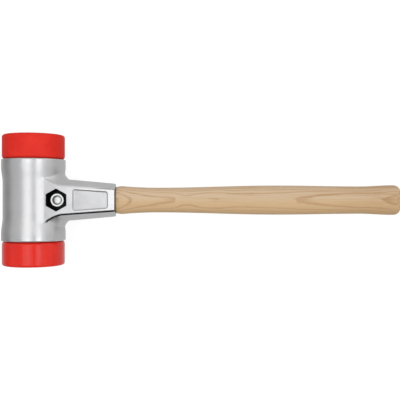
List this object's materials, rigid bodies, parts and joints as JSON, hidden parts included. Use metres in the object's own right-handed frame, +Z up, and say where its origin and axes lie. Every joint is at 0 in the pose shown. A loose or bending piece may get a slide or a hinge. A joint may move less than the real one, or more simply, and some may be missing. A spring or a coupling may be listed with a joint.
{
  "type": "paving hammer",
  "caption": "Soft-face paving hammer: a split cast head, clamped by a cap screw, grips replaceable plastic striking faces and a long oval wooden handle.",
  "frame": {"origin": "middle of the hammer's outline on the floor, with the hammer lying on its rear shell and the butt of its handle", "axes": "+X along the handle towards the butt, +Y along the head axis towards the upper striking face, +Z up from the floor"},
  "size_m": [0.5272, 0.1696, 0.082],
  "materials": {
    "casting": "tumbled die casting, satin",
    "face_plastic": "turned plastic, semi-gloss",
    "handle_wood": "sanded and oiled ash",
    "screw_steel": "bright zinc plate",
    "washer_steel": "black oxide",
    "ring_plastic": "moulded polyamide"
  },
  "bodies": {
    "rear_head": {"rear_housing_half": "casting", "handle": "handle_wood", "clamp_nut": "screw_steel", "nut_locking_ring": "ring_plastic"},
    "front_head": {"front_housing_half": "casting", "clamp_washer": "washer_steel"},
    "screw": {"clamp_screw": "screw_steel"},
    "upper_insert": {"upper_face_insert": "face_plastic"},
    "lower_insert": {"lower_face_insert": "face_plastic"}
  },
  "joints": [
    {"name": "clamp_open", "type": "slide", "parent": "rear_head", "child": "front_head", "axis": [0.0513, 0, 0.9987], "range_m": [0, 0.007]},
    {"name": "clamp_screw_turn", "type": "hinge", "parent": "front_head", "child": "screw", "pos_m": [-0.18848, 0, 0.03925], "axis": [0.0513, 0, 0.9987], "range_deg": [0, 1470]},
    {"name": "upper_insert_slide", "type": "slide", "parent": "rear_head", "child": "upper_insert", "axis": [0, 1, 0], "range_m": [0, 0.035]},
    {"name": "lower_insert_slide", "type": "slide", "parent": "rear_head", "child": "lower_insert", "axis": [0, -1, 0], "range_m": [0, 0.035]}
  ],
  "couplings": [
    {"joint": "clamp_screw_turn", "follows": "clamp_open", "rad_per_m": 3590.4}
  ]
}
